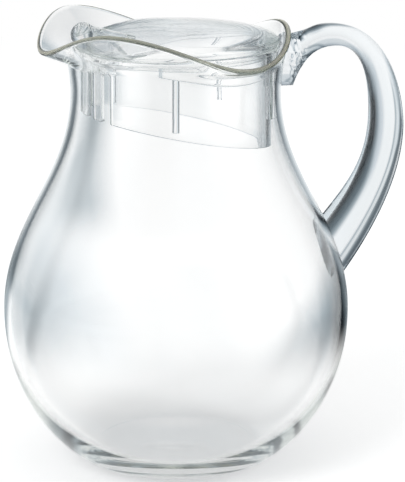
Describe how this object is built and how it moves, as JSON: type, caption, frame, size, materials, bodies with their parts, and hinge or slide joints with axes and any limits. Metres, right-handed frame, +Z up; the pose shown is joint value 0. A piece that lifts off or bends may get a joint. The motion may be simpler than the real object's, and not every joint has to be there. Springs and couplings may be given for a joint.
{
  "type": "jug with lid",
  "caption": "Clear acrylic pear-shaped jug with a wavy pouring lip, a solid curved handle, and a lift-off lid made of a comb strainer and a domed cap with a ball knob.",
  "frame": {"origin": "middle of the flat foot that the jug stands on, on the body's axis", "axes": "+Z up along the body's axis, -X towards the spout, +X towards the handle"},
  "size_m": [0.2038, 0.1714, 0.2228],
  "materials": {
    "clear_body": "clear moulded acrylic, polished",
    "clear_handle": "clear solid acrylic, polished",
    "clear_lid": "clear moulded acrylic"
  },
  "bodies": {
    "jug": {"jug_body": "clear_body", "handle": "clear_handle"},
    "strainer": {"lid_strainer": "clear_lid"},
    "cap": {"lid_cap": "clear_lid"}
  },
  "joints": [
    {"name": "lid_lift", "type": "slide", "parent": "jug", "child": "strainer", "axis": [0, 0, 1], "range_m": [0, 0.1]},
    {"name": "lid_turn", "type": "hinge", "parent": "strainer", "child": "cap", "pos_m": [0, 0, 0.209], "axis": [0, 0, 1], "continuous": true}
  ]
}
